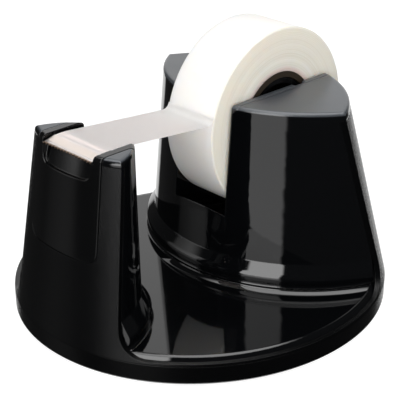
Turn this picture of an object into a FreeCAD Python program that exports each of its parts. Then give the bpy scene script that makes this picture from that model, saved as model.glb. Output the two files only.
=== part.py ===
import FreeCAD, Part
import os
import re
import Sketcher

# Desk tape dispenser on a weighted round foot: two tall towers at the back hold the tape roll in
# a slot, and a short tower at the front carries the cutter. The origin is on the desk under the
# middle of the foot, the front with the cutter faces -Y and the roll turns about an axis along X.

doc = FreeCAD.newDocument("TapeDispenser")

SIZES = {
    # Foot outline at the desk and tower outline at the top, as half axes of two ellipses
    "base_half_width": 55.4,
    "base_half_depth": 58.5,
    "top_half_width": 42.4,
    "top_half_depth": 48.0,
    "top_shift": 3.0,
    # Levels above the desk
    "seam_level": 6.2,
    "rim_level": 7.0,
    "floor_level": 8.2,
    "rear_crease_level": 15.4,
    "front_crease_level": 16.6,
    "cap_level": 59.6,
    "cheek_level": 61.5,
    "tower_level": 62.0,
    # Moulding walls and the joints between mouldings
    "shell_wall": 1.4,
    "cover_wall": 2.0,
    "floor_wall": 1.8,
    "seam_gap": 0.15,
    "cap_step": 0.4,
    # Concave front face of the rear towers: a leaning cone about an upright axis behind them
    "rear_axis_inset": 14.5,
    "rear_top_radius": 43.4,
    "rear_crease_radius": 46.9,
    "rear_top_round": 1.2,
    # Rounded back of the front tower: its axis moves forward on the way down
    "front_top_half_width": 19.0,
    "front_top_half_depth": 19.6,
    "front_top_inset": 19.1,
    "front_crease_half_width": 22.8,
    "front_crease_half_depth": 31.9,
    "front_crease_inset": 28.2,
    "front_top_round": 1.4,
    # Bead round the foot of both towers, and the sweep of the matt rim up into them
    "bead_height": 3.5,
    "bead_flare": 3.1,
    "bead_round": 2.6,
    "foot_flare": 1.2,
    "foot_round": 1.0,
    "rim_flare": 1.0,
    "rim_sweep": 8.0,
    # Gloss floor: its edge slopes down to the rim
    "floor_edge": 0.8,
    # Tape roll on its core, standing in the slot
    "tape_width": 19.0,
    "roll_diameter": 56.6,
    "core_outer": 29.6,
    "core_inner": 26.0,
    "roll_inset": 35.2,
    "roll_level": 51.8,
    "slot_side_gap": 1.15,
    "slot_radius": 34.0,
    "slot_wall": 2.8,
    # Hub inside the core, with stub axles that run in grooves of the slot walls
    "hub_gap": 0.2,
    "hub_wall": 1.8,
    "hub_web": 3.0,
    "hub_inset": 0.6,
    "hub_boss": 8.4,
    "hub_rib": 1.2,
    "hub_rib_inset": 2.6,
    "axle_diameter": 4.0,
    "axle_shoulder": 9.9,
    "running_gap": 0.08,
    "groove_depth": 1.4,
    "axle_end_gap": 0.3,
    "groove_lean": 33.3,
    # Blade carrier: a saddle with cheeks on the front tower and a panel down its front
    "carrier_top_half": 13.0,
    "carrier_low_half": 14.0,
    "panel_low_level": 32.0,
    "panel_corner": 3.0,
    "panel_wall": 2.2,
    "carrier_gap": 0.25,
    "saddle_under": 51.0,
    "channel_floor": 54.0,
    "platform_level": 60.8,
    "platform_depth": 3.2,
    "thumb_half": 10.05,
    "thumb_level": 54.4,
    "thumb_ledge": 0.9,
    "thumb_sink": 2.6,
    "thumb_round": 2.4,
    # Cutter blade, a strip of spring steel with a toothed front edge and a hooked back
    "blade_half": 10.0,
    "blade_thick": 0.4,
    "blade_set_back": 0.8,
    "blade_lip": 4.3,
    "blade_edge_level": 59.75,
    "blade_hook": 2.6,
    "tooth_pitch": 1.25,
    "tooth_depth": 0.8,
    # Free length of tape from the roll to the cutter
    "strip_thick": 0.2,
    "strip_gap": 0.3,
    "strip_crest_past": 0.2,
    "strip_leave_level": 57.0,
    "strip_root": 2.4,
    # Base plate, weight, grip ring and screws
    "plate_wall": 1.2,
    "plate_floor": 2.0,
    "plate_under": 0.4,
    "plate_chamfer": 0.8,
    "grip_inset": 3.5,
    "grip_band": 9.0,
    "grip_sink": 0.9,
    "weight_inset": 7.0,
    "weight_radius": 35.0,
    "weight_height": 10.0,
    "weight_gap": 0.3,
    "weight_rib": 1.4,
    "weight_rib_height": 3.0,
    "keeper_thick": 2.4,
    "keeper_half": 12.0,
    "screw_shank": 2.9,
    "screw_length": 10.0,
    "screw_head": 5.6,
    "screw_head_height": 1.7,
    "screw_sink": 0.3,
    "screw_tip": 1.3,
    "cross_width": 0.9,
    "cross_span": 3.2,
    "cross_depth": 1.0,
    "screw_bore_gap": 0.1,
    "boss_wall": 1.9,
    "boss_height": 18.0,
    "rear_boss_side_inset": 31.4,
    "rear_boss_inset": 4.7,
    "front_boss_across": 10.0,
    "front_boss_inset": 9.4,
}

sheet = doc.addObject("Spreadsheet::Sheet", "Sizes")
for row, (alias, millimetres) in enumerate(SIZES.items(), start=1):
    sheet.set(f"A{row}", alias)
    sheet.set(f"B{row}", str(millimetres))
    sheet.setAlias(f"B{row}", alias)
doc.recompute()

# Sizes that follow from the ones above, as expressions
SLOT_HALF = "(tape_width / 2 + slot_side_gap)"
COVER_INSET = "(shell_wall + seam_gap)"
FLOOR_UNDER = "(floor_level - floor_wall)"
ROLL_RADIUS = "(roll_diameter / 2)"
PLATE_TOP = "(plate_under + plate_floor)"
GROOVE_HALF = "(axle_diameter / 2)"
REAR_AXIS = "(base_half_depth - rear_axis_inset)"
TOP_FRONT = "(top_half_depth + top_shift)"
BEAD_LEVEL = "(floor_level + bead_height)"
ROLL_BACK = "(base_half_depth - roll_inset)"
BLADE_REACH = f"({TOP_FRONT} - blade_set_back)"
PLATFORM_FRONT = f"({BLADE_REACH} - blade_lip)"
PLATFORM_BACK = f"({PLATFORM_FRONT} - platform_depth)"
FRONT_TOP_BACK = f"({TOP_FRONT} - front_top_inset)"
FRONT_CREASE_BACK = "(base_half_depth - front_crease_inset)"
# Just behind the round back of the front tower, in the open gap between the towers
SADDLE_BACK = f"(3 - {FRONT_TOP_BACK})"
# Room for cutting tools that only have to reach past the whole body
REACH = 160.0


def bound(text):
    """Point every plain name in an expression at its cell in the sheet."""
    return re.sub(r"\b[a-z][a-z_]*\b(?!\()", lambda word: "Sizes." + word.group(0), text)


def number(text):
    return float(sheet.evalExpression(bound(text)))


def bind(item, **places):
    """Bind properties; a double underscore in a keyword stands for a dot."""
    for name, text in places.items():
        item.setExpression(name.replace("__", "."), bound(str(text)))
    return item


def place(item, x="0", y="0", z="0"):
    return bind(item, Placement__Base__x=x, Placement__Base__y=y, Placement__Base__z=z)


def box(name, x, y, z):
    """A box between two bound limits along each axis."""
    item = doc.addObject("Part::Box", name)
    bind(item, Length=f"{x[1]} - ({x[0]})", Width=f"{y[1]} - ({y[0]})", Height=f"{z[1]} - ({z[0]})")
    return place(item, x[0], y[0], z[0])


def drum(name, radius, half_length, y, z):
    """A cylinder along X, centred on the middle plane."""
    item = doc.addObject("Part::Cylinder", name)
    bind(item, Radius=radius, Height=f"2 * {half_length}")
    item.Placement = FreeCAD.Placement(
        FreeCAD.Vector(), FreeCAD.Rotation(FreeCAD.Vector(0, 1, 0), 90)
    )
    return place(item, f"-1 * {half_length}", y, z)


def post(name, radius, height, x, y, z):
    item = doc.addObject("Part::Cylinder", name)
    bind(item, Radius=radius, Height=height)
    return place(item, x, y, z)


def ellipse(name, half_width, half_depth, y, z):
    item = doc.addObject("Part::Ellipse", name)
    bind(item, MajorRadius=f"max({half_width}; {half_depth})")
    bind(item, MinorRadius=f"min({half_width}; {half_depth})")
    bind(item, Placement__Rotation__Angle=f"{half_depth} > {half_width} ? 90 : 0")
    return place(item, "0", y, z)


def circle(name, radius, y, z):
    item = doc.addObject("Part::Circle", name)
    return place(bind(item, Radius=radius), "0", y, z)


def ruled(name, lower, upper):
    item = doc.addObject("Part::Loft", name)
    item.Sections = [lower, upper]
    item.Solid = True
    item.Ruled = True
    return item


def disc(name, inset, low, high):
    """Upright elliptical plate inside the foot outline."""
    outline = (f"base_half_width - {inset}", f"base_half_depth - {inset}", "0")
    return ruled(name, ellipse(f"{name}_low", *outline, low), ellipse(f"{name}_high", *outline, high))


def taper_cone(name, inset):
    """Tapering part of the outside, from the seam to the tower tops, moved inward by an inset."""
    lower = ellipse(
        f"{name}_low", f"base_half_width - {inset}", f"base_half_depth - {inset}", "0", "seam_level"
    )
    upper = ellipse(
        f"{name}_high",
        f"top_half_width - {inset}",
        f"top_half_depth - {inset}",
        "-1 * top_shift",
        "tower_level",
    )
    return ruled(name, lower, upper)


def taper(name, inset):
    """The outside of the whole body, with an upright skirt down into the base plate."""
    skirt = disc(f"{name}_skirt", inset, PLATE_TOP, "seam_level")
    return joined(name, [skirt, taper_cone(f"{name}_cone", inset)])


def outline_at(name, level, inset):
    """The tapering outside outline at a level, moved inward by an inset."""
    share = f"(({level} - seam_level) / (tower_level - seam_level))"
    return ellipse(
        name,
        f"base_half_width + (top_half_width - base_half_width) * {share} - {inset}",
        f"base_half_depth + (top_half_depth - base_half_depth) * {share} - {inset}",
        f"-1 * top_shift * {share}",
        level,
    )


# The two round columns, each as the half width, half depth, y and level of its top and crease
REAR = (
    ("rear_top_radius", "rear_top_radius", REAR_AXIS, "tower_level"),
    ("rear_crease_radius", "rear_crease_radius", REAR_AXIS, "rear_crease_level"),
)
FRONT = (
    (
        "front_top_half_width",
        "front_top_half_depth",
        f"-1 * ({FRONT_TOP_BACK} + front_top_half_depth)",
        "cheek_level",
    ),
    (
        "front_crease_half_width",
        "front_crease_half_depth",
        f"-1 * ({FRONT_CREASE_BACK} + front_crease_half_depth)",
        "front_crease_level",
    ),
)


def ring(name, outline, grow, level):
    half_width, half_depth, back, _ = outline
    return ellipse(name, f"{half_width} + {grow}", f"{half_depth} + {grow}", back, level)


def column(name, outlines, low, inset="0", high_drop="0"):
    """Round column that a tower's gap face is part of, with the bead round its foot."""
    high_outline, low_outline = outlines
    top = ring(f"{name}_top", high_outline, f"-1 * {inset}", f"{high_outline[3]} - {high_drop}")
    crease = ring(f"{name}_crease", low_outline, f"-1 * {inset}", low_outline[3])
    bead = ring(f"{name}_bead", low_outline, f"(bead_flare - {inset})", BEAD_LEVEL)
    foot = ring(f"{name}_foot", low_outline, f"(foot_flare - {inset})", low)
    return [
        ruled(f"{name}_foot_band", foot, bead),
        ruled(f"{name}_bead_band", bead, crease),
        ruled(f"{name}_upper", crease, top),
    ]


def rim_column(name, outlines):
    """The same column where the matt shell meets it, flaring down to the rim."""
    high_outline, low_outline = outlines
    top = ring(f"{name}_top", high_outline, "0", high_outline[3])
    crease = ring(f"{name}_crease", low_outline, "0", low_outline[3])
    foot = ring(f"{name}_foot", low_outline, "rim_flare", "rim_level")
    return [ruled(f"{name}_flare", foot, crease), ruled(f"{name}_upper", crease, top)]


def joined(name, parts):
    item = doc.addObject("Part::MultiFuse", name)
    item.Shapes = parts
    item.Refine = False
    return item


def shared(name, parts):
    item = doc.addObject("Part::MultiCommon", name)
    item.Shapes = parts
    item.Refine = False
    return item


def cut(name, base, tools):
    """Take tools away from a base, one after the other."""
    for tool in tools[:-1]:
        step = doc.addObject("Part::Cut", f"{name}_less_{tool.Name}")
        step.Base = base
        step.Tool = tool
        step.Refine = False
        base = step
    item = doc.addObject("Part::Cut", name)
    item.Base = base
    item.Tool = tools[-1]
    item.Refine = False
    return item


def rounded(name, base, radius, chosen):
    """Round the edges whose bounding box passes a test."""
    doc.recompute()
    size = number(radius)
    edges = [index for index, edge in enumerate(base.Shape.Edges, start=1) if chosen(edge.BoundBox)]
    item = doc.addObject("Part::Fillet", name)
    item.Base = base
    item.Edges = [(index, size, size) for index in edges]
    return item


def level_edge(box_of_edge, level):
    near = 0.001
    return abs(box_of_edge.ZMin - level) < near and abs(box_of_edge.ZMax - level) < near


def blended(name, floor, round_size, columns, slab):
    """Columns standing on a slab, with a round where they meet it."""
    whole = joined(f"{name}_joined", slab + columns)
    doc.recompute()
    level = number(floor)
    small = 1.5 * REACH
    return rounded(
        name, whole, round_size, lambda edge: level_edge(edge, level) and edge.DiagonalLength < small
    )


def new_body(name):
    body = doc.addObject("PartDesign::Body", name)
    body.Label = name
    return body


def new_sketch(body, name, role):
    sketch = body.newObject("Sketcher::SketchObject", name)
    plane = next(item for item in body.Origin.OriginFeatures if item.Role == role)
    sketch.AttachmentSupport = [(plane, "")]
    sketch.MapMode = "FlatFace"
    return sketch


def polygon(sketch, corners):
    """Closed outline whose corners lie at bound distances from the sketch origin."""
    points = [FreeCAD.Vector(number(across), number(up), 0) for across, up in corners]
    first = sketch.GeometryCount
    count = len(points)
    for index, start in enumerate(points):
        sketch.addGeometry(Part.LineSegment(start, points[(index + 1) % count]))
    for index in range(count):
        follower = first + (index + 1) % count
        sketch.addConstraint(Sketcher.Constraint("Coincident", first + index, 2, follower, 1))
    for index, corner in enumerate(corners):
        for kind, text in zip(("DistanceX", "DistanceY"), corner):
            rule = Sketcher.Constraint(kind, -1, 1, first + index, 1, number(text))
            place_in_list = sketch.addConstraint(rule)
            sketch.setExpression(f"Constraints[{place_in_list}]", bound(text))


def revolved(body, name, corners, axis):
    """Turn an outline in the XZ plane about one of the sketch axes."""
    sketch = new_sketch(body, f"{name}_outline", "XZ_Plane")
    polygon(sketch, corners)
    turn = body.newObject("PartDesign::Revolution", name)
    turn.Profile = sketch
    turn.ReferenceAxis = (sketch, [axis])
    turn.Angle = 360
    return turn


def side_prism(name, corners, half_width):
    """Outline in the YZ plane, thickened evenly to both sides of the middle plane."""
    body = new_body(name)
    sketch = new_sketch(body, f"{name}_outline", "YZ_Plane")
    polygon(sketch, corners)
    pad = body.newObject("PartDesign::Pad", f"{name}_pad")
    pad.Profile = sketch
    pad.SideType = "Symmetric"
    bind(pad, Length=f"2 * {half_width}")
    body.Tip = pad
    return body


# ---- Outside form shared by the mouldings ------------------------------------------------------
outside = taper("outside", "0")
rim_slab = box("rim_slab", (-REACH, REACH), (-REACH, REACH), (PLATE_TOP, "rim_level"))
floor_slab = ruled(
    "floor_slab",
    outline_at("floor_rim", "rim_level", COVER_INSET),
    outline_at("floor_top", "floor_level", f"({COVER_INSET} + floor_edge)"),
)
rear_gloss = column("rear_gloss", REAR, "rim_level")
front_gloss = column("front_gloss", FRONT, "rim_level")
gloss_slab = [rim_slab, floor_slab]
gloss_blend = blended(
    "gloss_blend", "floor_level", "foot_round", rear_gloss + front_gloss, gloss_slab
)
doc.recompute()
bead_level = number(BEAD_LEVEL)
gloss_form = rounded(
    "gloss_form", gloss_blend, "bead_round", lambda edge: level_edge(edge, bead_level)
)
block = shared("block", [gloss_form, outside])
doc.recompute()
tower_level = number("tower_level")
cheek_level = number("cheek_level")
soft_rear = rounded(
    "soft_rear", block, "rear_top_round", lambda edge: level_edge(edge, tower_level)
)
soft_block = rounded(
    "soft_block", soft_rear, "front_top_round", lambda edge: level_edge(edge, cheek_level)
)

# Way of the roll through the rear towers, and the grooves that its axles drop into
slot = drum("slot", "slot_radius", SLOT_HALF, ROLL_BACK, "roll_level")
GROOVE_REACH = f"({SLOT_HALF} + groove_depth)"
groove_seat = drum("groove_seat", GROOVE_HALF, GROOVE_REACH, ROLL_BACK, "roll_level")
groove_run = doc.addObject("Part::Box", "groove_run")
bind(groove_run, Length=f"2 * {GROOVE_REACH}", Width="axle_diameter", Height="slot_radius")
bind(groove_run, Placement__Rotation__Angle="-1 * groove_lean")
groove_run.Placement.Rotation.Axis = FreeCAD.Vector(1, 0, 0)
place(
    groove_run,
    f"-1 * {GROOVE_REACH}",
    f"{ROLL_BACK} - {GROOVE_HALF} * cos(groove_lean)",
    f"roll_level + {GROOVE_HALF} * sin(groove_lean)",
)


def shield(name, top_half, low_half, low, corner):
    """Block reaching forward, seen from the front as an outline with round lower corners."""
    body = new_body(name)
    sketch = new_sketch(body, f"{name}_outline", "XZ_Plane")
    corners = [
        (f"-1 * ({low_half})", low),
        (low_half, low),
        (top_half, "tower_level + 1"),
        (f"-1 * ({top_half})", "tower_level + 1"),
    ]
    polygon(sketch, corners)
    pad = body.newObject("PartDesign::Pad", f"{name}_pad")
    pad.Profile = sketch
    bind(pad, Length="base_half_depth + 10")
    body.Tip = pad
    level = number(low)
    return rounded(
        f"{name}_round",
        body,
        corner,
        lambda edge: level_edge(edge, level) and edge.YLength > edge.XLength,
    )


def carrier_shield(name, grow):
    return shield(
        name,
        f"carrier_top_half + {grow}",
        f"carrier_low_half + {grow}",
        f"panel_low_level - {grow}",
        f"panel_corner + {grow}",
    )


tongue = carrier_shield("tongue", "0")
tongue_gap = carrier_shield("tongue_gap", "carrier_gap")
saddle_room = box(
    "saddle_room",
    (-REACH, REACH),
    (-REACH, SADDLE_BACK),
    ("saddle_under - carrier_gap", "tower_level + 1"),
)
carrier_room = shared("carrier_room", [tongue_gap, saddle_room])


def screw_spots():
    """The four screw places, close behind the wall of each tower that faces the gap."""
    rear_across = "(base_half_width - rear_boss_side_inset)"
    rear_reach = "(rear_crease_radius - rear_boss_inset)"
    rear_back = f"{REAR_AXIS} - sqrt({rear_reach} ^ 2 - {rear_across} ^ 2)"
    front_back = f"-1 * ({FRONT_CREASE_BACK} + front_boss_inset)"
    for side in ("-1 * ", ""):
        yield f"{side}{rear_across}", rear_back
        yield f"{side}front_boss_across", front_back


# ---- Outer shell: matt skirt, front wall and rear wall -----------------------------------------
rim_columns = rim_column("rear_rim", REAR) + rim_column("front_rim", FRONT)
shell_form = blended("shell_form", "rim_level", "rim_sweep", rim_columns, [rim_slab])
shell_core = taper("shell_core", "shell_wall")
shell_skin = cut("shell_skin", shared("shell_block", [shell_form, outside]), [shell_core])
above_cap = box(
    "above_cap", (-REACH, REACH), (-REACH, REACH), ("cap_level - seam_gap", "tower_level + 1")
)
below_seam = box(
    "below_seam", (-REACH, REACH), (-REACH, REACH), ("0", "seam_level + seam_gap")
)
outer_shell = cut("outer_shell", shell_skin, [slot, above_cap, below_seam, tongue_gap])

# ---- Inner cover: gloss floor, tower fronts, slot walls and caps -------------------------------
skirt_zone = cut(
    "skirt_zone",
    box("below_seam_line", (-REACH, REACH), (-REACH, REACH), ("0", "seam_level")),
    [disc("cover_skirt", COVER_INSET, "-1", "seam_level + 1")],
)
shell_zone = cut(
    "shell_zone",
    box("below_cap", (-REACH, REACH), (-REACH, REACH), ("seam_level", "cap_level")),
    [taper_cone("cover_core", COVER_INSET)],
)
cover_block = cut("cover_block", cut("above_skirt", soft_block, [shell_zone]), [skirt_zone])
bosses = []
bores = []
for index, (across, back) in enumerate(screw_spots(), start=1):
    boss_radius = "screw_shank / 2 + boss_wall"
    bosses.append(post(f"boss_{index}", boss_radius, "boss_height", across, back, FLOOR_UNDER))
    bore_radius = "screw_shank / 2 + screw_bore_gap"
    bores.append(post(f"bore_{index}", bore_radius, "screw_length", across, back, PLATE_TOP))
keeper = box(
    "keeper",
    ("-1 * keeper_thick / 2", "keeper_thick / 2"),
    (f"{ROLL_BACK} - keeper_half", f"{ROLL_BACK} + keeper_half"),
    (f"{PLATE_TOP} + weight_height + weight_gap", "roll_level"),
)
slot_grown = drum(
    "slot_grown",
    "(slot_radius + cover_wall)",
    f"({SLOT_HALF} + slot_wall)",
    ROLL_BACK,
    "roll_level",
)
rear_roof = "(tower_level - cap_level + cap_step)"
rear_void = joined("rear_void", column("rear_inside", REAR, "0", "cover_wall", rear_roof))
rear_room = cut("rear_room", rear_void, [slot_grown, keeper] + bosses)
front_roof = "(cheek_level - cap_level + cap_step)"
front_void = joined("front_void", column("front_inside", FRONT, "0", "cover_wall", front_roof))
front_room = cut("front_room", front_void, bosses)
under_room = disc("under_room", f"({COVER_INSET} + cover_wall)", "0", FLOOR_UNDER)
hollows = [under_room, front_room, rear_room]
ways = [slot, groove_seat, groove_run, carrier_room]
inner_cover = cut("inner_cover", cut("cover_frame", cover_block, hollows), ways + bores)

# ---- Blade carrier: saddle, cheeks, platform and front panel -----------------------------------
above_saddle = box(
    "above_saddle", (-REACH, REACH), (-REACH, SADDLE_BACK), ("saddle_under", "tower_level + 1")
)
below_saddle = box(
    "below_saddle", (-REACH, REACH), (-REACH, SADDLE_BACK), ("seam_level", "saddle_under + panel_wall")
)
saddle = shared("saddle", [soft_block, tongue, above_saddle])
panel_skin = cut(
    "panel_skin",
    shared("panel_block", [outside, tongue, below_saddle]),
    [taper("panel_core", "panel_wall")],
)
BLADE_UNDER = "(blade_edge_level - blade_thick)"
tape_way = side_prism(
    "tape_way",
    [
        (f"-1 * {BLADE_REACH} - 10", BLADE_UNDER),
        (f"-1 * {BLADE_REACH}", BLADE_UNDER),
        (f"-1 * {PLATFORM_FRONT}", "platform_level - blade_thick"),
        (f"-1 * {PLATFORM_FRONT}", "platform_level"),
        (f"-1 * {PLATFORM_BACK}", "platform_level"),
        (f"-1 * {PLATFORM_BACK}", "channel_floor"),
        ("0", "channel_floor"),
        ("0", "tower_level + 5"),
        (f"-1 * {BLADE_REACH} - 10", "tower_level + 5"),
    ],
    SLOT_HALF,
)
# Curved scoop under the cutting edge: it goes deeper from its lower lip up to the blade
thumb_room = shield("thumb_room", "thumb_half", "thumb_half", "thumb_level", "thumb_round")
thumb_back = ruled(
    "thumb_back",
    outline_at("thumb_lip", "thumb_level", "thumb_ledge"),
    outline_at("thumb_top", "tower_level + 2", "thumb_sink"),
)
thumb_cut = cut("thumb_cut", thumb_room, [thumb_back])
HOOK_FRONT = f"(-1 * {PLATFORM_FRONT} - blade_thick)"
HOOK_UNDER = "(platform_level - blade_hook)"
hook_slit = box(
    "hook_slit",
    ("-1 * blade_half - seam_gap", "blade_half + seam_gap"),
    (HOOK_FRONT, f"-1 * {PLATFORM_FRONT}"),
    (HOOK_UNDER, "platform_level"),
)
platform_hollow = box(
    "platform_hollow",
    (f"-1 * ({SLOT_HALF} - panel_wall)", f"{SLOT_HALF} - panel_wall"),
    (f"panel_wall + thumb_ledge - {BLADE_REACH}", f"-1 * {PLATFORM_BACK} - panel_wall"),
    ("saddle_under - 1", "platform_level - blade_hook - panel_wall"),
)
blade_carrier = cut(
    "blade_carrier",
    joined("carrier_whole", [saddle, panel_skin]),
    [tape_way, thumb_cut, hook_slit, platform_hollow],
)

# ---- Cutter blade: bent strip with a row of teeth ----------------------------------------------
cutter_blade = side_prism(
    "cutter_blade",
    [
        (f"-1 * {BLADE_REACH}", BLADE_UNDER),
        (HOOK_FRONT, "platform_level - blade_thick"),
        (HOOK_FRONT, HOOK_UNDER),
        (f"-1 * {PLATFORM_FRONT}", HOOK_UNDER),
        (f"-1 * {PLATFORM_FRONT}", "platform_level"),
        (f"-1 * {BLADE_REACH}", "blade_edge_level"),
    ],
    "blade_half",
)
notch_sketch = new_sketch(cutter_blade, "notch_outline", "XY_Plane")
polygon(
    notch_sketch,
    [
        ("-1 * blade_half", f"-1 * {BLADE_REACH} - tooth_depth"),
        ("tooth_pitch - blade_half", f"-1 * {BLADE_REACH} - tooth_depth"),
        ("tooth_pitch - blade_half", f"-1 * {BLADE_REACH}"),
        ("tooth_pitch / 2 - blade_half", f"tooth_depth - {BLADE_REACH}"),
        ("-1 * blade_half", f"-1 * {BLADE_REACH}"),
    ],
)
notch = cutter_blade.newObject("PartDesign::Pocket", "notch")
notch.Profile = notch_sketch
notch.Type = "ThroughAll"
notch.SideType = "Symmetric"
doc.recompute()
teeth = cutter_blade.newObject("PartDesign::LinearPattern", "teeth")
teeth.Originals = [notch]
teeth.Direction = (notch_sketch, ["H_Axis"])
teeth.Mode = "Spacing"
bind(teeth, Offset="tooth_pitch", Occurrences="floor(2 * blade_half / tooth_pitch + 0.001)")
cutter_blade.Tip = teeth

# ---- Base plate with its weight, grip ring and screws ------------------------------------------
plate_skirt = disc("plate_skirt", "0", "plate_under + plate_chamfer", "seam_level")
plate_low = ruled(
    "plate_low",
    ellipse(
        "plate_low_edge",
        "base_half_width - plate_chamfer",
        "base_half_depth - plate_chamfer",
        "0",
        "plate_under",
    ),
    ellipse(
        "plate_side_edge",
        "base_half_width",
        "base_half_depth",
        "0",
        "plate_under + plate_chamfer",
    ),
)
plate_room = disc("plate_room", "plate_wall", PLATE_TOP, "tower_level")


def weight_outline(name, grow, top):
    """Lens that follows the back of the foot and, in front, an arc inside the tower fronts."""
    lens = disc(f"{name}_disc", f"(weight_inset - ({grow}))", PLATE_TOP, top)
    arc = post(
        f"{name}_arc", f"weight_radius + {grow}", "tower_level", "0", REAR_AXIS, "0"
    )
    return shared(name, [lens, arc])


weight_top = f"({PLATE_TOP} + weight_height)"
rib_top = f"({PLATE_TOP} + weight_rib_height)"
weight_rib = cut(
    "weight_rib",
    weight_outline("rib_outer", "weight_gap + weight_rib", rib_top),
    [weight_outline("rib_inner", "weight_gap", weight_top)],
)
grip_groove = cut(
    "grip_groove",
    disc("groove_outer", "grip_inset", "-1", "plate_under + grip_sink"),
    [disc("groove_inner", "(grip_inset + grip_band)", "-2", "tower_level")],
)
pads = []
head_rooms = []
for index, (across, back) in enumerate(screw_spots(), start=1):
    pad_radius = "screw_head / 2 + boss_wall"
    pad_height = f"{FLOOR_UNDER} - {PLATE_TOP}"
    pads.append(post(f"pad_{index}", pad_radius, pad_height, across, back, PLATE_TOP))
    head_radius = "screw_head / 2 + seam_gap"
    head_rooms.append(
        post(f"head_room_{index}", head_radius, "screw_sink + screw_head_height", across, back,
             "plate_under")
    )
    way_radius = "screw_shank / 2 + screw_bore_gap"
    head_rooms.append(
        post(f"shank_way_{index}", way_radius, "screw_length", across, back, "plate_under")
    )
plate_dish = cut("plate_dish", joined("plate_block", [plate_skirt, plate_low]), [plate_room])
base_plate = cut(
    "base_plate", joined("plate_whole", [plate_dish, weight_rib] + pads), [grip_groove] + head_rooms
)

ballast_weight = weight_outline("ballast_weight", "0", weight_top)

grip_ring = cut(
    "grip_ring",
    disc("ring_outer", "(grip_inset + seam_gap)", "0", "plate_under + grip_sink"),
    [disc("ring_inner", "(grip_inset + grip_band - seam_gap)", "-1", "tower_level")],
)


def base_screw(name, across, back):
    """Thread-forming screw, head down, with a cross recess."""
    body = new_body(name)
    turned = revolved(
        body,
        f"{name}_turn",
        [
            ("0", "0"),
            ("screw_head / 2", "0"),
            ("screw_head / 2", "screw_head_height"),
            ("screw_shank / 2", "screw_head_height"),
            ("screw_shank / 2", "screw_head_height + screw_length - screw_tip"),
            ("0", "screw_head_height + screw_length"),
        ],
        "V_Axis",
    )
    body.Tip = turned
    sketch = new_sketch(body, f"{name}_cross_outline", "XY_Plane")
    near = "cross_width / 2"
    far = "cross_span / 2"
    corners = []
    for turn in range(4):
        for across_arm, along_arm in ((near, near), (near, far), (f"-1 * {near}", far)):
            spot = (across_arm, along_arm)
            for _ in range(turn):
                spot = (f"-1 * ({spot[1]})", spot[0])
            corners.append(spot)
    polygon(sketch, corners)
    recess = body.newObject("PartDesign::Pocket", f"{name}_cross")
    recess.Profile = sketch
    recess.Reversed = True
    bind(recess, Length="cross_depth")
    body.Tip = recess
    return place(body, across, back, "plate_under + screw_sink")


screws = [
    base_screw(f"base_screw_{index}", across, back)
    for index, (across, back) in enumerate(screw_spots(), start=1)
]

# ---- Hub, core and wound tape, all turning about the axle --------------------------------------
AXLE_END = f"({GROOVE_REACH} - axle_end_gap)"
AXLE_RADIUS = "(axle_diameter / 2 - running_gap)"
HUB_END = "(tape_width / 2 - hub_inset)"
HUB_OUTER = "(core_inner / 2 - hub_gap)"
HUB_INNER = f"({HUB_OUTER} - hub_wall)"
half_hub = [
    (AXLE_END, "0"),
    (AXLE_END, AXLE_RADIUS),
    ("axle_shoulder", AXLE_RADIUS),
    ("axle_shoulder", "hub_boss / 2"),
    ("hub_web / 2", "hub_boss / 2"),
    ("hub_web / 2", HUB_INNER),
    (HUB_END, HUB_INNER),
    (HUB_END, HUB_OUTER),
]
mirrored_hub = [(f"-1 * {across}", radius) for across, radius in reversed(half_hub)]
roll_hub = new_body("roll_hub")
hub_turn = revolved(roll_hub, "hub_turn", half_hub + mirrored_hub, "H_Axis")
roll_hub.Tip = hub_turn
rib_sketch = new_sketch(roll_hub, "hub_rib_outline", "XZ_Plane")
rib_end = f"({HUB_END} - hub_rib_inset)"
polygon(
    rib_sketch,
    [
        (f"-1 * {rib_end}", "hub_boss / 2 - hub_rib"),
        (rib_end, "hub_boss / 2 - hub_rib"),
        (rib_end, f"{HUB_INNER} + hub_rib / 2"),
        (f"-1 * {rib_end}", f"{HUB_INNER} + hub_rib / 2"),
    ],
)
hub_rib = roll_hub.newObject("PartDesign::Pad", "hub_rib")
hub_rib.Profile = rib_sketch
hub_rib.SideType = "Symmetric"
bind(hub_rib, Length="hub_rib")
doc.recompute()
hub_ribs = roll_hub.newObject("PartDesign::PolarPattern", "hub_ribs")
hub_ribs.Originals = [hub_rib]
hub_ribs.Axis = (rib_sketch, ["H_Axis"])
hub_ribs.Angle = 360
hub_ribs.Occurrences = 6
roll_hub.Tip = hub_ribs
place(roll_hub, "0", ROLL_BACK, "roll_level")


def tube(name, inner, outer, width):
    """Ring about the roll axis."""
    body = new_body(name)
    half = f"{width} / 2"
    corners = [(f"-1 * {half}", inner), (half, inner), (half, outer), (f"-1 * {half}", outer)]
    body.Tip = revolved(body, f"{name}_turn", corners, "H_Axis")
    return place(body, "0", ROLL_BACK, "roll_level")


tape_core = tube("tape_core", "core_inner / 2", "core_outer / 2", "tape_width")
tape_roll = tube("tape_roll", "core_outer / 2", ROLL_RADIUS, "tape_width")

# ---- Free tape from the roll over the platform to the cutter -----------------------------------


def roll_face(level):
    """Y of the roll's front at a level."""
    return f"({ROLL_BACK} - sqrt({ROLL_RADIUS}^2 - ({level} - roll_level)^2) - strip_gap)"


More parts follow.
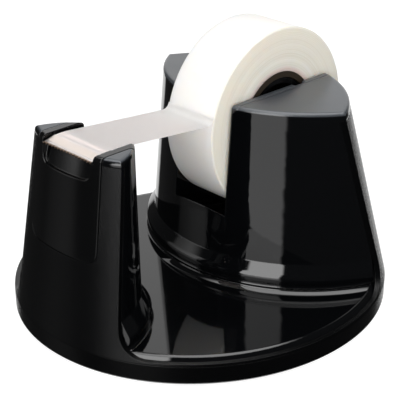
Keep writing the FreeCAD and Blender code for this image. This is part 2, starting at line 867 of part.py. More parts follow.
CREST = f"({PLATFORM_BACK} - strip_crest_past)"
LEAVE = "strip_leave_level"
ROOT = "(strip_leave_level + strip_root)"
tape_strip = side_prism(
    "tape_strip",
    [
        (roll_face(ROOT), ROOT),
        (roll_face(LEAVE), LEAVE),
        (f"-1 * {CREST}", "platform_level + strip_gap"),
        (f"-1 * {PLATFORM_FRONT}", "platform_level + strip_gap"),
        (f"-1 * {BLADE_REACH}", "blade_edge_level + strip_gap"),
        (f"-1 * {BLADE_REACH}", "blade_edge_level + strip_gap + strip_thick"),
        (f"-1 * {PLATFORM_FRONT}", "platform_level + strip_gap + strip_thick"),
        (f"-1 * {CREST}", "platform_level + strip_gap + strip_thick"),
        (f"{roll_face(LEAVE)} - strip_thick", f"{LEAVE} + strip_thick"),
        (f"{roll_face(ROOT)} - strip_thick", ROOT),
    ],
    "tape_width / 2",
)

# ---- Sub-parts: check them and write one file each ---------------------------------------------
subparts = [
    outer_shell,
    inner_cover,
    blade_carrier,
    cutter_blade,
    base_plate,
    ballast_weight,
    grip_ring,
    *screws,
    roll_hub,
    tape_core,
    tape_roll,
    tape_strip,
]
doc.recompute()
for item in doc.Objects:
    if "Invalid" in item.State or "Error" in item.State:
        raise RuntimeError(f"{item.Name} did not build: {item.State}")
for item in subparts:
    if item.Shape.isNull() or not item.Shape.isValid():
        raise RuntimeError(f"{item.Label} has no valid shape")
    print(item.Label, "solids", len(item.Shape.Solids), "volume", round(item.Shape.Volume, 1))
os.makedirs("parts", exist_ok=True)
for item in subparts:
    item.Shape.exportStep(f"parts/{item.Label}.step")
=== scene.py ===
import math

import bpy
import bmesh
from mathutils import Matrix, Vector


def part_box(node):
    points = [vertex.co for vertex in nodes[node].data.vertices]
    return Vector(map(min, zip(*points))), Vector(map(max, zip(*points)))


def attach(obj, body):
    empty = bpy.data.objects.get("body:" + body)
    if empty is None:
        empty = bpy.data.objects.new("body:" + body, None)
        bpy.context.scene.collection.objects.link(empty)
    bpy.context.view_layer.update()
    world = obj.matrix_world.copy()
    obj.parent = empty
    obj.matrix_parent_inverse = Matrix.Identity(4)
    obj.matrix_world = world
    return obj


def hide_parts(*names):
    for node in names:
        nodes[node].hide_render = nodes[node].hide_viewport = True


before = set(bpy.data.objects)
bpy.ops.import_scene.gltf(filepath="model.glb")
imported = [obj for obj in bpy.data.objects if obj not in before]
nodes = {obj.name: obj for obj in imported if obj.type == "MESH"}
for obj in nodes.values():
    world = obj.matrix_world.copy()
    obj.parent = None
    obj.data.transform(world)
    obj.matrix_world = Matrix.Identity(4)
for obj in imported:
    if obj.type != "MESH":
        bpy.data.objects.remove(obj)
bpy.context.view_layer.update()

# ---- Camera -------------------------------------------------------------------------------------
# A long lens looks down at the dispenser from its front right corner, so that the cutter is at
# the left and the roll stands behind it.
AZIMUTH = math.radians(45.78)
ELEVATION = math.radians(25.31)
DISTANCE = 0.36812
AIM = Vector((0, 0.0007, 0.02879))
LENS = 109.14
SHIFT_ACROSS = -0.0072
SHIFT_UP = 0.0011
NEAREST_SEEN = 0.01
FARTHEST_SEEN = 20


def heading(azimuth, elevation):
    """Unit vector away from the product; azimuth 0 is straight out from the cutter."""
    return Vector(
        (
            math.sin(azimuth) * math.cos(elevation),
            -math.cos(azimuth) * math.cos(elevation),
            math.sin(elevation),
        )
    )


towards_lens = heading(AZIMUTH, ELEVATION)
camera = bpy.data.objects.new("camera", bpy.data.cameras.new("camera"))
bpy.context.scene.collection.objects.link(camera)
bpy.context.scene.camera = camera
camera.location = AIM + towards_lens * DISTANCE
camera.rotation_mode = "QUATERNION"
camera.rotation_quaternion = (-towards_lens).to_track_quat("-Z", "Y")
camera.data.lens = LENS
camera.data.shift_x = SHIFT_ACROSS
camera.data.shift_y = SHIFT_UP
camera.data.clip_start = NEAREST_SEEN
camera.data.clip_end = FARTHEST_SEEN

bpy.context.scene.view_settings.view_transform = "Standard"

# ---- Studio -------------------------------------------------------------------------------------
# Polished faces mirror the room: a white sweep behind, a tall soft light beside the camera and its
# paler image in the table, a faint card at the left and a bright ceiling. The tape is lit by four
# soft lamps that no mirror shows, over a pale floor that keeps the shadow.
BACKDROP = 1.25
TALL_LIGHT = 6.5
TALL_LIGHT_IN_TABLE = 1.65
TABLE_IMAGE_FOOT = -26
SIDE_CARD = 1.5
SIDE_CARD_IN_TABLE = 0.18
SIDE_CARD_FAR_SIDE = 0.25
TABLE_LINE = 0.5
TABLE_LINE_SOFT = 2.0
CEILING = 5.0
CEILING_EDGE = 61
ROOM = 0.045
PLAIN_ROOM = 1.0
FLOOR_SIZE = 6
FLOOR_GREY = 0.30
FLOOR_GLOW = 0.88


def add_node(tree, kind, **values):
    node = tree.nodes.new(kind)
    for name, value in values.items():
        setattr(node, name, value)
    return node


def feed(tree, socket, value):
    """Link a socket to an output, or set it to a plain value."""
    if isinstance(value, bpy.types.NodeSocket):
        tree.links.new(value, socket)
    else:
        socket.default_value = value


def maths(tree, operation, *terms, clamp=False):
    node = add_node(tree, "ShaderNodeMath", operation=operation, use_clamp=clamp)
    for socket, term in zip(node.inputs, terms):
        feed(tree, socket, term)
    return node.outputs[0]


def vector_maths(tree, operation, *terms):
    node = add_node(tree, "ShaderNodeVectorMath", operation=operation)
    for socket, term in zip(node.inputs, terms):
        feed(tree, socket, term)
    return node.outputs["Value" if operation in ("DOT_PRODUCT", "LENGTH") else "Vector"]


def product(tree, *factors):
    result = factors[0]
    for factor in factors[1:]:
        result = maths(tree, "MULTIPLY", result, factor)
    return result


def graded(tree, value, low, high, out_low=0.0, out_high=1.0):
    """Smooth step of a value between two limits."""
    node = add_node(tree, "ShaderNodeMapRange", interpolation_type="SMOOTHSTEP")
    feed(tree, node.inputs["Value"], value)
    node.inputs["From Min"].default_value = low
    node.inputs["From Max"].default_value = high
    node.inputs["To Min"].default_value = out_low
    node.inputs["To Max"].default_value = out_high
    return node.outputs["Result"]


def mixed(tree, share, first, second):
    node = add_node(tree, "ShaderNodeMixShader")
    for socket, value in zip(node.inputs, (share, first, second)):
        tree.links.new(value, socket)
    return node.outputs[0]


world = bpy.data.worlds.new("studio")
bpy.context.scene.world = world
world.use_nodes = True
# The room shows only in mirrors and through clear parts; the lamps give all the diffuse light.
world.cycles_visibility.diffuse = False
air = world.node_tree
air.nodes.clear()
outward = add_node(air, "ShaderNodeTexCoord").outputs["Generated"]
outward_axes = add_node(air, "ShaderNodeSeparateXYZ")
air.links.new(outward, outward_axes.inputs[0])
altitude = maths(air, "ARCSINE", outward_axes.outputs["Z"])


def off_bearing(centre):
    """How far a direction in the room turns away from an azimuth, without its sign."""
    ahead = vector_maths(air, "DOT_PRODUCT", outward, heading(math.radians(centre), 0))
    across = vector_maths(air, "DOT_PRODUCT", outward, heading(math.radians(centre + 90), 0))
    return maths(air, "ABSOLUTE", maths(air, "ARCTAN2", across, ahead))


def step_at(angle, middle, soft, before=0.0, after=1.0):
    """Soft step of an angle in the room; the middle and the softness are in degrees."""
    return graded(
        air, angle, math.radians(middle - soft), math.radians(middle + soft), before, after
    )


def room_patch(centre, half_width, side_soft, top, top_soft):
    """Mask of an upright patch of the room, in degrees."""
    across = step_at(off_bearing(centre), half_width, side_soft, 1.0, 0.0)
    upward = step_at(altitude, top, top_soft, 1.0, 0.0)
    return maths(air, "MULTIPLY", across, upward)


def above_table(in_table, over_table):
    """Strength of a light that the table mirrors more weakly than it shines."""
    return step_at(altitude, TABLE_LINE, TABLE_LINE_SOFT, in_table, over_table)


room_lights = (
    (
        room_patch(centre=-137, half_width=28, side_soft=2.5, top=46, top_soft=8),
        BACKDROP,
    ),
    (
        room_patch(centre=15.5, half_width=15.5, side_soft=1.6, top=54, top_soft=2),
        above_table(TALL_LIGHT_IN_TABLE, TALL_LIGHT),
        step_at(altitude, TABLE_IMAGE_FOOT, soft=4),
    ),
    (
        room_patch(centre=-48, half_width=15.5, side_soft=2, top=33, top_soft=3),
        step_at(off_bearing(-33), middle=18, soft=14, before=1.0, after=SIDE_CARD_FAR_SIDE),
        above_table(SIDE_CARD_IN_TABLE, SIDE_CARD),
    ),
    (
        step_at(altitude, CEILING_EDGE, soft=5),
        CEILING,
    ),
)
room_strength = ROOM
for factors in room_lights:
    room_strength = maths(air, "ADD", room_strength, product(air, *factors))

paths = add_node(air, "ShaderNodeLightPath")
# Past the floor's edge the camera sees a plain room, pale grey as the node's own colour is.
seen_plain = maths(
    air, "MAXIMUM", paths.outputs["Is Camera Ray"], paths.outputs["Is Transmission Ray"]
)
mirrored_room = add_node(air, "ShaderNodeBackground")
air.links.new(room_strength, mirrored_room.inputs["Strength"])
plain_room = add_node(air, "ShaderNodeBackground")
plain_room.inputs["Strength"].default_value = PLAIN_ROOM
world_out = add_node(air, "ShaderNodeOutputWorld")
air.links.new(
    mixed(air, seen_plain, mirrored_room.outputs[0], plain_room.outputs[0]),
    world_out.inputs["Surface"],
)


def soft_lamp(name, azimuth, elevation, distance, width, height, radiance):
    """Rectangular lamp that faces the product and that polished faces don't mirror."""
    lamp = bpy.data.lights.new(name, "AREA")
    lamp.shape = "RECTANGLE"
    lamp.size = width
    lamp.size_y = height
    lamp.energy = radiance * math.pi * width * height
    item = bpy.data.objects.new(name, lamp)
    bpy.context.scene.collection.objects.link(item)
    away = heading(math.radians(azimuth), math.radians(elevation))
    item.location = AIM + away * distance
    item.rotation_mode = "QUATERNION"
    item.rotation_quaternion = (-away).to_track_quat("-Z", "Y")
    item.visible_glossy = False


soft_lamp("key_light", azimuth=0, elevation=50, distance=1.1, width=0.7, height=0.7, radiance=2.4)
soft_lamp("sky_light", azimuth=180, elevation=76, distance=1.2, width=1.8, height=1.8, radiance=1.6)
soft_lamp("front_light", azimuth=43, elevation=8, distance=1.2, width=1.4, height=0.5, radiance=4.2)
soft_lamp("side_light", azimuth=60, elevation=36, distance=0.34, width=0.28, height=0.28, radiance=1.9)

bpy.ops.mesh.primitive_plane_add(size=FLOOR_SIZE, location=(0, 0, 0))
floor = bpy.context.object
floor.name = "studio_floor"
floor.visible_glossy = False
floor_finish = bpy.data.materials.new("pale_floor")
floor_finish.use_nodes = True
ground = floor_finish.node_tree
ground.nodes.clear()
paper = add_node(ground, "ShaderNodeBsdfDiffuse")
paper.inputs["Color"].default_value = (FLOOR_GREY, FLOOR_GREY, FLOOR_GREY, 1)
glow = add_node(ground, "ShaderNodeEmission")
glow.inputs["Strength"].default_value = FLOOR_GLOW
glowing_paper = add_node(ground, "ShaderNodeAddShader")
ground.links.new(glow.outputs[0], glowing_paper.inputs[0])
ground.links.new(paper.outputs[0], glowing_paper.inputs[1])
seen_directly = add_node(ground, "ShaderNodeLightPath").outputs["Is Camera Ray"]
ground_out = add_node(ground, "ShaderNodeOutputMaterial")
ground.links.new(
    mixed(ground, seen_directly, paper.outputs[0], glowing_paper.outputs[0]),
    ground_out.inputs["Surface"],
)
floor.data.materials.append(floor_finish)

# ---- Outer shell --------------------------------------------------------------------------------
# The matt half of the housing, injection moulded in black ABS: skirt, front wall and rear wall.
# Its mould is spark eroded, which leaves a fine even grain that breaks up every highlight.
ABS_INDEX = 1.5
MOULDED_EDGE = 0.00018
EDGE_SAMPLES = 8
NOISE_MEAN = 0.5
GRAIN_DETAIL = 3
GRAIN_ROUGHNESS = 0.6
WEAR_SCALE = 45
WEAR_DETAIL = 4
MATT_BLACK = (0.0010, 0.0011, 0.0013)


def finish_material(name, colour, roughness, index=ABS_INDEX, metallic=0.0, specular=0.5):
    """New material with one Principled shader whose even values sit on its own sockets."""
    material = bpy.data.materials.new(name)
    material.use_nodes = True
    tree = material.node_tree
    shader = tree.nodes["Principled BSDF"]
    shader.inputs["Base Color"].default_value = (*colour, 1)
    shader.inputs["Roughness"].default_value = roughness
    shader.inputs["IOR"].default_value = index
    shader.inputs["Metallic"].default_value = metallic
    shader.inputs["Specular IOR Level"].default_value = specular
    return material, tree, shader


def dress(node_name, material):
    """Give a carried-over CAD node its finish on every material slot."""
    item = nodes[node_name]
    if not item.material_slots:
        item.data.materials.append(material)
    for slot in item.material_slots:
        slot.material = material


def mottle(tree, place, scale, detail, roughness=0.5):
    """Cloudy noise over a place."""
    cloud = add_node(tree, "ShaderNodeTexNoise")
    feed(tree, cloud.inputs["Vector"], place)
    feed(tree, cloud.inputs["Scale"], scale)
    cloud.inputs["Detail"].default_value = detail
    cloud.inputs["Roughness"].default_value = roughness
    return cloud.outputs["Fac"]


def surface_group(name, taken, given):
    """New shader node group with named inputs and outputs, and its two end nodes."""
    group = bpy.data.node_groups.new(name, "ShaderNodeTree")
    for label, value in taken.items():
        socket = group.interface.new_socket(label, in_out="INPUT", socket_type="NodeSocketFloat")
        socket.default_value = value
    for label, kind in given.items():
        group.interface.new_socket(label, in_out="OUTPUT", socket_type=kind)
    return group, add_node(group, "NodeGroupInput"), add_node(group, "NodeGroupOutput")


def rounded_relief_group():
    """Normals that round every sharp edge a little, with a bump from a height on top."""
    group, start, end = surface_group(
        "rounded_relief",
        {"Height": 0.0, "Distance": 0.0001, "Edge Radius": MOULDED_EDGE},
        {"Normal": "NodeSocketVector"},
    )
    soft_edge = add_node(group, "ShaderNodeBevel", samples=EDGE_SAMPLES)
    group.links.new(start.outputs["Edge Radius"], soft_edge.inputs["Radius"])
    bump = add_node(group, "ShaderNodeBump")
    group.links.new(start.outputs["Distance"], bump.inputs["Distance"])
    group.links.new(start.outputs["Height"], bump.inputs["Height"])
    group.links.new(soft_edge.outputs["Normal"], bump.inputs["Normal"])
    group.links.new(bump.outputs["Normal"], end.inputs["Normal"])
    return group


def eroded_grain_group():
    """Eroded mould surface: a height for bump, and a roughness that follows it and the wear."""
    group, start, end = surface_group(
        "eroded_grain",
        {"Grain Size": 0.0004, "Roughness": 0.45, "Roughness Change": 0.12, "Wear": 0.05},
        {"Height": "NodeSocketFloat", "Roughness": "NodeSocketFloat"},
    )
    place = add_node(group, "ShaderNodeTexCoord").outputs["Object"]
    pits_per_metre = maths(group, "DIVIDE", 1.0, start.outputs["Grain Size"])
    pits = mottle(group, place, pits_per_metre, GRAIN_DETAIL, GRAIN_ROUGHNESS)
    clouds = mottle(group, place, WEAR_SCALE, WEAR_DETAIL)
    swing = maths(group, "SUBTRACT", pits, NOISE_MEAN)
    drift = maths(group, "SUBTRACT", clouds, NOISE_MEAN)
    pitted = maths(group, "MULTIPLY", swing, start.outputs["Roughness Change"])
    rubbed = maths(group, "MULTIPLY", drift, start.outputs["Wear"])
    rough = maths(group, "ADD", start.outputs["Roughness"], pitted)
    group.links.new(maths(group, "ADD", rough, rubbed, clamp=True), end.inputs["Roughness"])
    group.links.new(pits, end.inputs["Height"])
    return group


rounded_relief = rounded_relief_group()
eroded_grain = eroded_grain_group()


def shape_surface(tree, shader, height, depth, edge=MOULDED_EDGE):
    """Place the rounded relief in a material and feed it to the shader."""
    relief = add_node(tree, "ShaderNodeGroup", node_tree=rounded_relief)
    feed(tree, relief.inputs["Height"], height)
    relief.inputs["Distance"].default_value = depth
    relief.inputs["Edge Radius"].default_value = edge
    tree.links.new(relief.outputs["Normal"], shader.inputs["Normal"])


def grained_finish(name, colour, roughness, size, depth, edge=MOULDED_EDGE, **even_values):
    """Material with eroded grain of a size and depth."""
    material, tree, shader = finish_material(name, colour, roughness, **even_values)
    grain = add_node(tree, "ShaderNodeGroup", node_tree=eroded_grain)
    grain.inputs["Grain Size"].default_value = size
    grain.inputs["Roughness"].default_value = roughness
    shape_surface(tree, shader, grain.outputs["Height"], depth, edge)
    tree.links.new(grain.outputs["Roughness"], shader.inputs["Roughness"])
    return material


matt_black = grained_finish(
    "matt_black_abs", MATT_BLACK, roughness=0.24, size=0.00042, depth=0.00007, specular=0.28
)
dress("outer_shell", matt_black)

# ---- Inner cover --------------------------------------------------------------------------------
# The polished half of the housing: floor, faces round the gap, slot walls and tower tops, moulded
# in one piece from black ABS. The mould is mirror finished, but for the tops of the rear towers,
# which have a fine texture and a shallow groove along the slot. The tops' lighter grey colour is a
# painted sheen: it stands in for the bright room that they mirror.
COVER_INDEX = 1.55
COVER_EDGE = 0.0005
POLISHED_BLACK = (0.0016, 0.0018, 0.0022)
POLISHED_ROUGHNESS = (0.035, 0.075)
# Painted sheen: a lighter grey for the tower tops, standing in for the room that they mirror.
TOP_PAINTED_SHEEN = (0.050, 0.056, 0.064)
TOP_ROUGHNESS = 0.24
TOP_LEVEL = 0.0611
TOP_SOFT = 0.0003
FLOOR_LEVEL = 0.0085
FLOOR_SOFT = 0.0002
TOWER_AXIS = 0.044
SWEEP_RADIUS = 0.0526
SWEEP_WIDTH = 0.0035
SWEEP_RISE = 0.0024
SWEEP_CURVE = 1.4
SWEEP_FROM_X = -0.012
SWEEP_WHOLE_X = -0.002
GROOVE_OFFSET = 0.0127
GROOVE_HALF = 0.0005
GROOVE_DEPTH = 0.0002
RIPPLE_SCALE = 40
RIPPLE_DEPTH = 0.000004
HANDLING_SCALE = 90
HANDLING_RANGE = (0.35, 0.75)


def place_on_piece(tree):
    """Place in the piece's own frame, as a vector and as its three axes."""
    place = add_node(tree, "ShaderNodeTexCoord").outputs["Object"]
    axes = add_node(tree, "ShaderNodeSeparateXYZ")
    tree.links.new(place, axes.inputs[0])
    return place, axes.outputs


def distance_in_plane(tree, place, centre, plane):
    """Distance from a centre, measured along the axes that the plane keeps."""
    offset = vector_maths(tree, "SUBTRACT", place, Vector(centre))
    return vector_maths(tree, "LENGTH", vector_maths(tree, "MULTIPLY", offset, Vector(plane)))


def blend(tree, share, first, second):
    """Colour between two, each a socket or a plain tone."""
    node = add_node(tree, "ShaderNodeMix", data_type="RGBA")
    feed(tree, node.inputs[0], share)
    for socket, tone in zip(node.inputs[6:8], (first, second)):
        feed(tree, socket, (*tone, 1) if isinstance(tone, tuple) else tone)
    return node.outputs[2]


gloss_black, tree, shader = finish_material(
    "gloss_black_abs", POLISHED_BLACK, roughness=0.05, index=COVER_INDEX
)
place, axes = place_on_piece(tree)
on_floor = graded(tree, axes["Z"], FLOOR_LEVEL - FLOOR_SOFT, FLOOR_LEVEL + FLOOR_SOFT, 1.0, 0.0)
on_top = graded(tree, axes["Z"], TOP_LEVEL - TOP_SOFT, TOP_LEVEL + TOP_SOFT)

tower_reach = distance_in_plane(tree, place, (0, TOWER_AXIS, 0), (1, 1, 0))
inside_sweep = maths(tree, "SUBTRACT", SWEEP_RADIUS, tower_reach)
sweep_share = maths(tree, "DIVIDE", inside_sweep, SWEEP_WIDTH, clamp=True)
sweep_height = maths(tree, "MULTIPLY", maths(tree, "POWER", sweep_share, SWEEP_CURVE), SWEEP_RISE)
towards_right = graded(tree, axes["X"], SWEEP_FROM_X, SWEEP_WHOLE_X)
foot_sweep = product(tree, sweep_height, on_floor, towards_right)

off_slot = maths(tree, "SUBTRACT", maths(tree, "ABSOLUTE", axes["X"]), GROOVE_OFFSET)
off_groove = maths(tree, "ABSOLUTE", off_slot)
groove = maths(
    tree, "MULTIPLY", graded(tree, off_groove, 0.0, GROOVE_HALF, -GROOVE_DEPTH, 0.0), on_top
)

ripple = maths(tree, "MULTIPLY", mottle(tree, place, RIPPLE_SCALE, detail=1), RIPPLE_DEPTH)
moulded = maths(tree, "ADD", maths(tree, "ADD", foot_sweep, groove), ripple)
shape_surface(tree, shader, moulded, depth=1.0, edge=COVER_EDGE)

handling = mottle(tree, place, HANDLING_SCALE, detail=6)
polished = graded(tree, handling, *HANDLING_RANGE, *POLISHED_ROUGHNESS)
textured = maths(tree, "MULTIPLY", on_top, TOP_ROUGHNESS)
tree.links.new(maths(tree, "ADD", polished, textured), shader.inputs["Roughness"])
# The tops get a lighter grey base colour here: painted sheen for the room they mirror.
tree.links.new(blend(tree, on_top, POLISHED_BLACK, TOP_PAINTED_SHEEN), shader.inputs["Base Color"])
dress("inner_cover", gloss_black)

# ---- Blade carrier ------------------------------------------------------------------------------
# A snap-in moulding over the front tower: two cheeks that guide the tape, a platform for the
# blade and a plain front panel. Its mould has a finer, smoother texture than the shell's.
SATIN_BLACK = (0.0014, 0.0015, 0.0017)
CARRIER_EDGE = 0.0005

satin_black = grained_finish(
    "satin_black_abs", SATIN_BLACK, roughness=0.17, size=0.0003, depth=0.000012, edge=CARRIER_EDGE
)
dress("blade_carrier", satin_black)

# ---- Cutter blade -------------------------------------------------------------------------------
# A strip of spring steel, stamped with teeth along its front edge, folded at the back into a
# hook and pressed into the platform. The cut edge has lost its bright finish.
SPRING_STEEL = (0.88, 0.83, 0.80)
STEEL_ROUGHNESS = (0.24, 0.38)
DULL_EDGE = (0.36, 0.25, 0.18)
DULL_TO = 0.00035
BRIGHT_FROM = 0.0009
ROLLING_MARKS = Vector((300, 6000, 6000))
MARK_RANGE = (0.2, 0.8)
MARK_DEPTH = 0.000006
BLADE_EDGE = 0.00008

blade_low, blade_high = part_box("cutter_blade")
blade_steel, tree, shader = finish_material(
    "blade_steel", SPRING_STEEL, roughness=0.30, metallic=1.0
)
place, axes = place_on_piece(tree)
rolled = mottle(tree, vector_maths(tree, "MULTIPLY", place, ROLLING_MARKS), scale=1, detail=2)
shape_surface(tree, shader, rolled, depth=MARK_DEPTH, edge=BLADE_EDGE)
tree.links.new(graded(tree, rolled, *MARK_RANGE, *STEEL_ROUGHNESS), shader.inputs["Roughness"])
cut_edge = graded(tree, axes["Y"], blade_low.y + DULL_TO, blade_low.y + BRIGHT_FROM, 1.0, 0.0)
tree.links.new(blend(tree, cut_edge, SPRING_STEEL, DULL_EDGE), shader.inputs["Base Color"])
dress("cutter_blade", blade_steel)

# ---- Base plate, ballast and grip ring ----------------------------------------------------------
# The underside: a matt plate screwed up into the towers, an iron weight inside it that keeps the
# dispenser still, and a rubber ring that stops it sliding.
CAST_IRON = (0.09, 0.088, 0.085)
RUBBER_BLACK = (0.022, 0.022, 0.023)
ZINC = (0.50, 0.50, 0.51)
SCREW_COUNT = 4

plate_black = grained_finish(
    "plate_black_abs", MATT_BLACK, roughness=0.24, size=0.0005, depth=0.00004, specular=0.25
)
dress("base_plate", plate_black)
cast_iron = grained_finish(
    "cast_iron", CAST_IRON, roughness=0.6, size=0.0012, depth=0.0001, metallic=0.8
)
dress("ballast_weight", cast_iron)
grip_rubber = grained_finish(
    "grip_rubber", RUBBER_BLACK, roughness=0.82, size=0.0008, depth=0.0001
)
dress("grip_ring", grip_rubber)
screw_zinc = grained_finish(
    "screw_zinc", ZINC, roughness=0.32, size=0.0005, depth=0.000005, metallic=1.0
)
for number in range(1, SCREW_COUNT + 1):
    dress(f"base_screw_{number}", screw_zinc)

# ---- Hub and core -------------------------------------------------------------------------------
# The hub is a black moulded wheel with two stub axles, pushed into the core that the tape was
# wound on. The core is a thin brown card tube with a varnished bore.
HUB_BLACK = (0.004, 0.004, 0.0043)
CARD_BROWN = (0.030, 0.022, 0.015)

hub_black = grained_finish(
    "hub_black_abs", HUB_BLACK, roughness=0.20, size=0.0006, depth=0.000008
)
dress("roll_hub", hub_black)
core_card = grained_finish(
    "core_card", CARD_BROWN, roughness=0.38, size=0.0007, depth=0.00003
)
dress("tape_core", core_card)

# ---- Wound tape ---------------------------------------------------------------------------------
# Matt acetate tape, wound tight on the core in thin turns. Each turn lets light through, so the roll
# is white on its tread and warmer on its sides, where the edges of the turns show as fine rings.
CORE_GAP = 0.00002
TURN_STEP = 0.00004
EDGE_ROUND = 0.00035
ROUND_STEPS = 5
SIDE_STEPS = 34
ROLL_SEGMENTS = 144
SIDE_WAVES = ((23.0, 0.0, 0.5), (61.0, 1.3, 0.3))
WAVE_FADE = 6
TAPE_INDEX = 1.47
TREAD_WHITE = (0.915, 0.892, 0.862)
SIDE_CREAM = (0.84, 0.79, 0.68)
SIDE_PALE = (0.93, 0.895, 0.81)
CORE_BLUSH = (0.80, 0.50, 0.44)
BLUSH_SHARE = 0.55
BLUSH_FROM = 0.0002
BLUSH_TO = 0.0022
SIDE_FROM = 0.0006
SIDE_TO = 0.0001
TURN_SCALE = 2600
TURN_SHARE = 0.55
SLOW_TURN_SCALE = 420
SLOW_TURN_SHARE = 0.45
RING_RANGE = (0.3, 0.7)
TURN_DEPTH = 0.00003

roll_low, roll_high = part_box("tape_roll")
roll_centre = (roll_low + roll_high) / 2
roll_radius = (roll_high.z - roll_low.z) / 2
roll_half = (roll_high.x - roll_low.x) / 2
core_low, core_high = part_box("tape_core")
core_radius = (core_high.z - core_low.z) / 2


def roll_profile():
    """Half width and radius along one side face and round the tread's corner."""
    inner = core_radius + CORE_GAP
    outer = roll_radius - EDGE_ROUND
    for step in range(SIDE_STEPS + 1):
        share = step / SIDE_STEPS
        wander = sum(size * math.sin(share * waves + phase) for waves, phase, size in SIDE_WAVES)
        sunk = TURN_STEP * (1 + wander) * (1 - share**WAVE_FADE)
        yield roll_half - sunk, inner + (outer - inner) * share
    for step in range(1, ROUND_STEPS + 1):
        turn = math.pi / 2 * step / ROUND_STEPS
        yield (
            roll_half - EDGE_ROUND * (1 - math.cos(turn)),
            outer + EDGE_ROUND * math.sin(turn),
        )


def finished_piece(name, mesh):
    """Smooth-shaded object from a working mesh."""
    data = bpy.data.meshes.new(name)
    mesh.to_mesh(data)
    mesh.free()
    data.polygons.foreach_set("use_smooth", [True] * len(data.polygons))
    item = bpy.data.objects.new(name, data)
    bpy.context.scene.collection.objects.link(item)
    return item


def wind(name, profile, centre):
    """Closed ring about an axis along X; the profile runs once round its section."""
    mesh = bmesh.new()
    rings = []
    for segment in range(ROLL_SEGMENTS):
        angle = 2 * math.pi * segment / ROLL_SEGMENTS
        across = Vector((0, math.cos(angle), math.sin(angle)))
        rings.append(
            [mesh.verts.new(centre + Vector((x, 0, 0)) + across * radius) for x, radius in profile]
        )
    for here, there in zip(rings, rings[1:] + rings[:1]):
        for step in range(len(profile)):
            mesh.faces.new((here[step - 1], here[step], there[step], there[step - 1]))
    bmesh.ops.recalc_face_normals(mesh, faces=mesh.faces)
    return finished_piece(name, mesh)


def let_light_in(shader, weight, radius, scale):
    """Light that spreads under the surface of the tape."""
    shader.inputs["Subsurface Weight"].default_value = weight
    shader.inputs["Subsurface Radius"].default_value = radius
    shader.inputs["Subsurface Scale"].default_value = scale


def turn_rings(tree, reach, scale, detail):
    """Noise that changes only with the distance from the roll's axis."""
    rings = add_node(tree, "ShaderNodeTexNoise", noise_dimensions="1D")
    tree.links.new(reach, rings.inputs["W"])
    rings.inputs["Scale"].default_value = scale
    rings.inputs["Detail"].default_value = detail
    return rings.outputs["Fac"]


one_side = list(roll_profile())
other_side = [(-x, radius) for x, radius in reversed(one_side)]
wound_roll = wind("wound_roll", one_side + other_side, roll_centre)

roll_white, tree, shader = finish_material(
    "wound_tape", TREAD_WHITE, roughness=0.45, index=TAPE_INDEX, specular=0.3
)
let_light_in(shader, weight=0.55, radius=(1.0, 0.85, 0.68), scale=0.0045)
place, axes = place_on_piece(tree)
reach = distance_in_plane(tree, place, roll_centre, (0, 1, 1))
off_middle = maths(tree, "ABSOLUTE", axes["X"])
on_side = graded(tree, off_middle, roll_half - SIDE_FROM, roll_half - SIDE_TO)
turn_edges = turn_rings(tree, reach, TURN_SCALE, detail=3)
slow_turns = turn_rings(tree, reach, SLOW_TURN_SCALE, detail=1)
ring_tone = maths(
    tree,
    "ADD",
    maths(tree, "MULTIPLY", turn_edges, TURN_SHARE),
    maths(tree, "MULTIPLY", slow_turns, SLOW_TURN_SHARE),
)
side_tone = blend(tree, graded(tree, ring_tone, *RING_RANGE), SIDE_CREAM, SIDE_PALE)
near_core = graded(
    tree, reach, core_radius + BLUSH_FROM, core_radius + BLUSH_TO, BLUSH_SHARE, 0.0
)
blushed_side = blend(tree, near_core, side_tone, CORE_BLUSH)
tree.links.new(blend(tree, on_side, TREAD_WHITE, blushed_side), shader.inputs["Base Color"])
turn_bump = add_node(tree, "ShaderNodeBump")
turn_bump.inputs["Distance"].default_value = TURN_DEPTH
feed(tree, turn_bump.inputs["Height"], maths(tree, "MULTIPLY", turn_edges, on_side))
tree.links.new(turn_bump.outputs["Normal"], shader.inputs["Normal"])
wound_roll.data.materials.append(roll_white)
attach(wound_roll, "roll")
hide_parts("tape_roll")

# ---- Free tape ----------------------------------------------------------------------------------
# The end of the tape, pulled forward off the roll and laid over the platform onto the blade. It
# peels off the tread in a short bend, lies flat on the steel and ends just behind the teeth.
FILM = 0.00008
PEEL_LEVEL = 0.0574
PEEL_BEND = 0.0020
OFF_TREAD = 0.00012
OFF_TREAD_IN_BEND = 0.0003
ABOVE_BLADE = 0.00010
TIP_DROP = 0.00105
TIP_BEHIND_TEETH = 0.0009
CREST_BEHIND_BLADE = 0.0034
CREST_BEND = 0.0012
CREST_BEND_TO = 0.3
KNEE_BEND_FROM = 0.75
KNEE_BEND_TO = 0.2
BEND_STEPS = 12
RUN_STEPS = 5
STRIP_COLUMNS = 10
SHARP_EDGE = 0.7
STRIP_WHITE = (0.96, 0.90, 0.88)
ON_STEEL_WHITE = (0.95, 0.88, 0.83)
# Painted light: the film turns whiter towards the roll, where light from the white roll shows through
# it.
NEAR_ROLL_PAINTED_LIGHT = (0.98, 0.965, 0.945)
ON_STEEL_TO = 0.0036
OFF_STEEL_FROM = 0.0040
NEAR_ROLL_FROM = -0.011
NEAR_ROLL_TO = 0.001
FROST_SCALE = 900
FROST_RANGE = (0.2, 0.8)
FROST_ROUGHNESS = (0.32, 0.44)

strip_low, strip_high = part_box("tape_strip")
strip_half = (strip_high.x - strip_low.x) / 2
film_level = blade_high.z + ABOVE_BLADE + FILM


def on_tread(level, clear):
    """Point on the front of the tread at a level, as y and z, a little off the tape below it."""
    rise = level - roll_centre.z
    radius = roll_radius + clear
    return Vector((roll_centre.y - math.sqrt(radius * radius - rise * rise), level))


def bend_through(before, corner, after, steps):
    """Smooth turn between two runs, as a quadratic curve."""
    for step in range(steps + 1):
        share = step / steps
        yield (
            before * (1 - share) ** 2 + corner * 2 * share * (1 - share) + after * share**2
        )


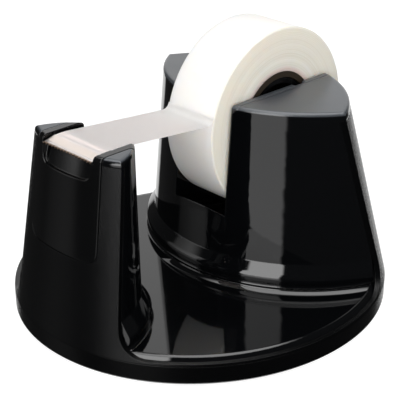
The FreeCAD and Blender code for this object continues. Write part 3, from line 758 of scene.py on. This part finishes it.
def tape_line():
    """Side view of the tape, from the tread to the teeth."""
    lifted = on_tread(PEEL_LEVEL + PEEL_BEND, OFF_TREAD)
    corner = on_tread(PEEL_LEVEL, OFF_TREAD_IN_BEND)
    crest = Vector((blade_high.y + CREST_BEHIND_BLADE, film_level))
    knee = Vector((blade_high.y, film_level))
    tip = Vector((blade_low.y + TIP_BEHIND_TEETH, film_level - TIP_DROP))
    forward = (crest - corner).normalized()
    yield from bend_through(lifted, corner, corner + forward * PEEL_BEND, BEND_STEPS)
    for step in range(1, RUN_STEPS):
        yield corner.lerp(crest, step / RUN_STEPS)
    laid_down = crest.lerp(knee, CREST_BEND_TO)
    yield from bend_through(crest - forward * CREST_BEND, crest, laid_down, BEND_STEPS // 2)
    on_blade = crest.lerp(knee, KNEE_BEND_FROM)
    yield from bend_through(on_blade, knee, knee.lerp(tip, KNEE_BEND_TO), BEND_STEPS // 2)
    yield tip


strip_mesh = bmesh.new()
rows = []
for point in tape_line():
    row = []
    for column in range(STRIP_COLUMNS + 1):
        across = strip_half * (2 * column / STRIP_COLUMNS - 1)
        row.append(strip_mesh.verts.new((across, point.x, point.y)))
    rows.append(row)
for here, there in zip(rows, rows[1:]):
    for column in range(STRIP_COLUMNS):
        strip_mesh.faces.new((here[column], here[column + 1], there[column + 1], there[column]))
bmesh.ops.solidify(strip_mesh, geom=list(strip_mesh.faces), thickness=FILM)
bmesh.ops.recalc_face_normals(strip_mesh, faces=strip_mesh.faces)
for edge in strip_mesh.edges:
    edge.smooth = edge.calc_face_angle(0) < SHARP_EDGE
free_tape = finished_piece("free_tape", strip_mesh)

strip_white, tree, shader = finish_material(
    "free_tape", STRIP_WHITE, roughness=0.36, index=TAPE_INDEX, specular=0.3
)
let_light_in(shader, weight=0.5, radius=(1.0, 0.95, 0.9), scale=0.001)
place, axes = place_on_piece(tree)
on_steel = graded(
    tree, axes["Y"], blade_low.y + ON_STEEL_TO, blade_low.y + OFF_STEEL_FROM, 1.0, 0.0
)
# Painted light: towards the roll the film is painted whiter, for light from the white roll behind it.
near_roll_painted_light = graded(tree, axes["Y"], roll_low.y + NEAR_ROLL_FROM, roll_low.y + NEAR_ROLL_TO)
free_tone = blend(tree, on_steel, STRIP_WHITE, ON_STEEL_WHITE)
tree.links.new(blend(tree, near_roll_painted_light, free_tone, NEAR_ROLL_PAINTED_LIGHT), shader.inputs["Base Color"])
frosting = mottle(tree, place, FROST_SCALE, detail=2)
tree.links.new(graded(tree, frosting, *FROST_RANGE, *FROST_ROUGHNESS), shader.inputs["Roughness"])
free_tape.data.materials.append(strip_white)
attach(free_tape, "free_tape")
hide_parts("tape_strip")
